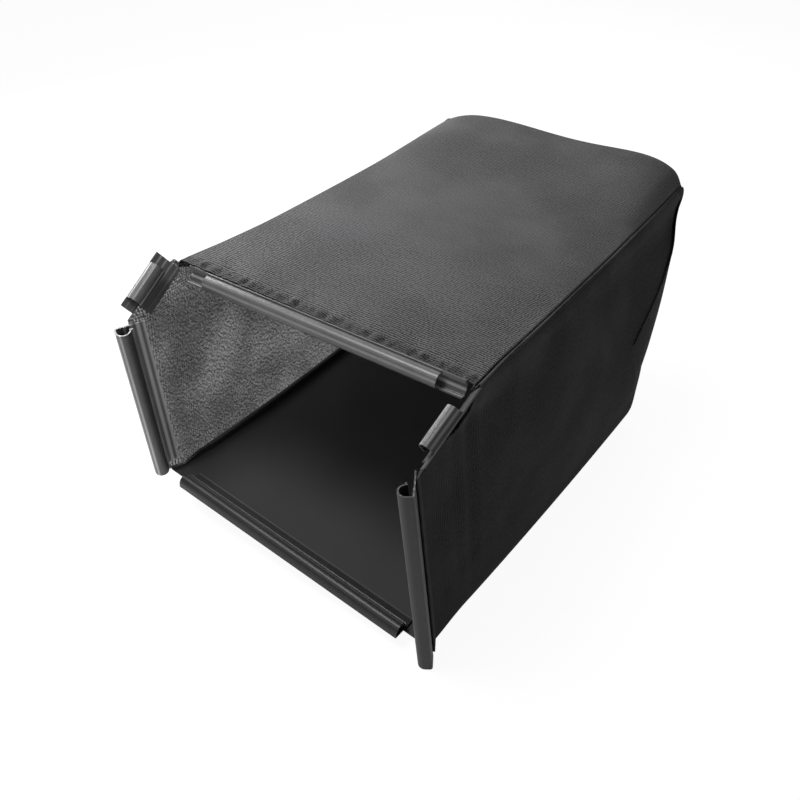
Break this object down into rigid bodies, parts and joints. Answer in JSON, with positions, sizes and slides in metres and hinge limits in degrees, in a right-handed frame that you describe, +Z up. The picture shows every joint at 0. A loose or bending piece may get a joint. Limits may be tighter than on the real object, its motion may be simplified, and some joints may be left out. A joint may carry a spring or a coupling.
{
  "type": "mower grass collection bag",
  "caption": "Soft grass collection bag, open at the front, with a slanting mouth, woven top, mesh sides, a coated bottom and plastic hook clips sewn along the rim of the mouth.",
  "frame": {"origin": "under the middle of the bag, level with its lowest point", "axes": "+X across the mouth, +Y from the mouth to the rear, +Z up"},
  "size_m": [0.4118, 0.6791, 0.3165],
  "materials": {
    "top_fabric": "coarse woven polyester, matt",
    "coated_bottom": "smooth coated cloth, faint sheen",
    "side_mesh": "fine woven mesh, matt",
    "seam_tape": "narrow woven tape",
    "clip_plastic": "extruded plastic, satin"
  },
  "bodies": {
    "root": {"top_back_panel": "top_fabric", "bottom_panel": "coated_bottom", "left_side_panel": "side_mesh", "right_side_panel": "side_mesh", "left_seam_binding": "seam_tape", "right_seam_binding": "seam_tape", "rear_bottom_seam_tape": "seam_tape", "upper_left_clip": "clip_plastic", "lower_left_clip": "clip_plastic", "upper_right_clip": "clip_plastic", "lower_right_clip": "clip_plastic", "top_clip": "clip_plastic", "bottom_clip": "clip_plastic"}
  },
  "joints": []
}
